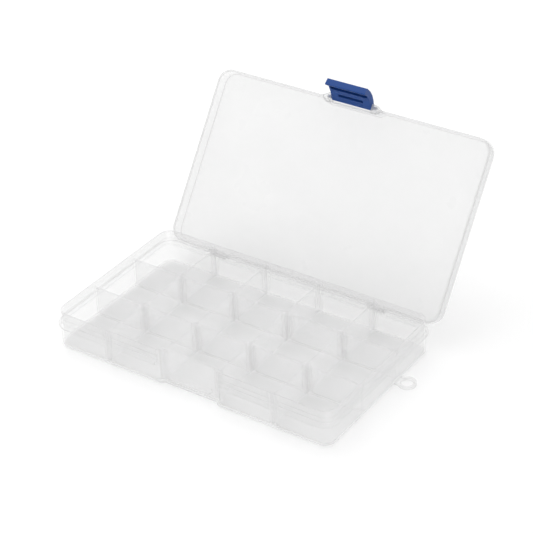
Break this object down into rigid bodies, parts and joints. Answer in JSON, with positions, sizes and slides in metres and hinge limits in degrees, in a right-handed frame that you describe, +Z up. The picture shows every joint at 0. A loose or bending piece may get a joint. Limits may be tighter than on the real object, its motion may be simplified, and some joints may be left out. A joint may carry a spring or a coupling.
{
  "type": "parts organizer",
  "caption": "Shallow translucent parts box with a hinged lid, a swinging front latch, lift-out dividers between fixed rows and a hanging ring.",
  "frame": {"origin": "middle of the tray's underside, on the surface it stands on", "axes": "+X along the long side towards the hanging ring, +Y from the latch side to the hinges, +Z up"},
  "size_m": [0.1843, 0.1698, 0.1107],
  "materials": {
    "tray_plastic": "translucent natural polypropylene, smooth moulded",
    "lid_plastic": "translucent natural polypropylene, smooth moulded",
    "divider_plastic": "translucent natural polypropylene, thin sheet",
    "latch_plastic": "opaque blue polypropylene, satin"
  },
  "bodies": {
    "tray_body": {"tray": "tray_plastic"},
    "lid_body": {"lid": "lid_plastic"},
    "latch_body": {"latch": "latch_plastic"},
    "divider_front_1_body": {"divider_front_1": "divider_plastic"},
    "divider_front_2_body": {"divider_front_2": "divider_plastic"},
    "divider_front_3_body": {"divider_front_3": "divider_plastic"},
    "divider_front_4_body": {"divider_front_4": "divider_plastic"},
    "divider_middle_1_body": {"divider_middle_1": "divider_plastic"},
    "divider_middle_2_body": {"divider_middle_2": "divider_plastic"},
    "divider_middle_3_body": {"divider_middle_3": "divider_plastic"},
    "divider_middle_4_body": {"divider_middle_4": "divider_plastic"},
    "divider_back_1_body": {"divider_back_1": "divider_plastic"},
    "divider_back_2_body": {"divider_back_2": "divider_plastic"},
    "divider_back_3_body": {"divider_back_3": "divider_plastic"},
    "divider_back_4_body": {"divider_back_4": "divider_plastic"}
  },
  "joints": [
    {"name": "lid_hinge", "type": "hinge", "parent": "tray_body", "child": "lid_body", "pos_m": [0, 0.0519, 0.0134], "axis": [-1, 0, 0], "range_deg": [-125, 0]},
    {"name": "latch_hinge", "type": "hinge", "parent": "lid_body", "child": "latch_body", "pos_m": [0, 0.11263, 0.09699], "axis": [-1, 0, 0], "range_deg": [-32, 80]},
    {"name": "divider_lift_front_1", "type": "slide", "parent": "tray_body", "child": "divider_front_1_body", "axis": [0, 0, 1], "range_m": [0, 0.022]},
    {"name": "divider_lift_front_2", "type": "slide", "parent": "tray_body", "child": "divider_front_2_body", "axis": [0, 0, 1], "range_m": [0, 0.022]},
    {"name": "divider_lift_front_3", "type": "slide", "parent": "tray_body", "child": "divider_front_3_body", "axis": [0, 0, 1], "range_m": [0, 0.022]},
    {"name": "divider_lift_front_4", "type": "slide", "parent": "tray_body", "child": "divider_front_4_body", "axis": [0, 0, 1], "range_m": [0, 0.022]},
    {"name": "divider_lift_middle_1", "type": "slide", "parent": "tray_body", "child": "divider_middle_1_body", "axis": [0, 0, 1], "range_m": [0, 0.022]},
    {"name": "divider_lift_middle_2", "type": "slide", "parent": "tray_body", "child": "divider_middle_2_body", "axis": [0, 0, 1], "range_m": [0, 0.022]},
    {"name": "divider_lift_middle_3", "type": "slide", "parent": "tray_body", "child": "divider_middle_3_body", "axis": [0, 0, 1], "range_m": [0, 0.022]},
    {"name": "divider_lift_middle_4", "type": "slide", "parent": "tray_body", "child": "divider_middle_4_body", "axis": [0, 0, 1], "range_m": [0, 0.022]},
    {"name": "divider_lift_back_1", "type": "slide", "parent": "tray_body", "child": "divider_back_1_body", "axis": [0, 0, 1], "range_m": [0, 0.022]},
    {"name": "divider_lift_back_2", "type": "slide", "parent": "tray_body", "child": "divider_back_2_body", "axis": [0, 0, 1], "range_m": [0, 0.022]},
    {"name": "divider_lift_back_3", "type": "slide", "parent": "tray_body", "child": "divider_back_3_body", "axis": [0, 0, 1], "range_m": [0, 0.022]},
    {"name": "divider_lift_back_4", "type": "slide", "parent": "tray_body", "child": "divider_back_4_body", "axis": [0, 0, 1], "range_m": [0, 0.022]}
  ]
}
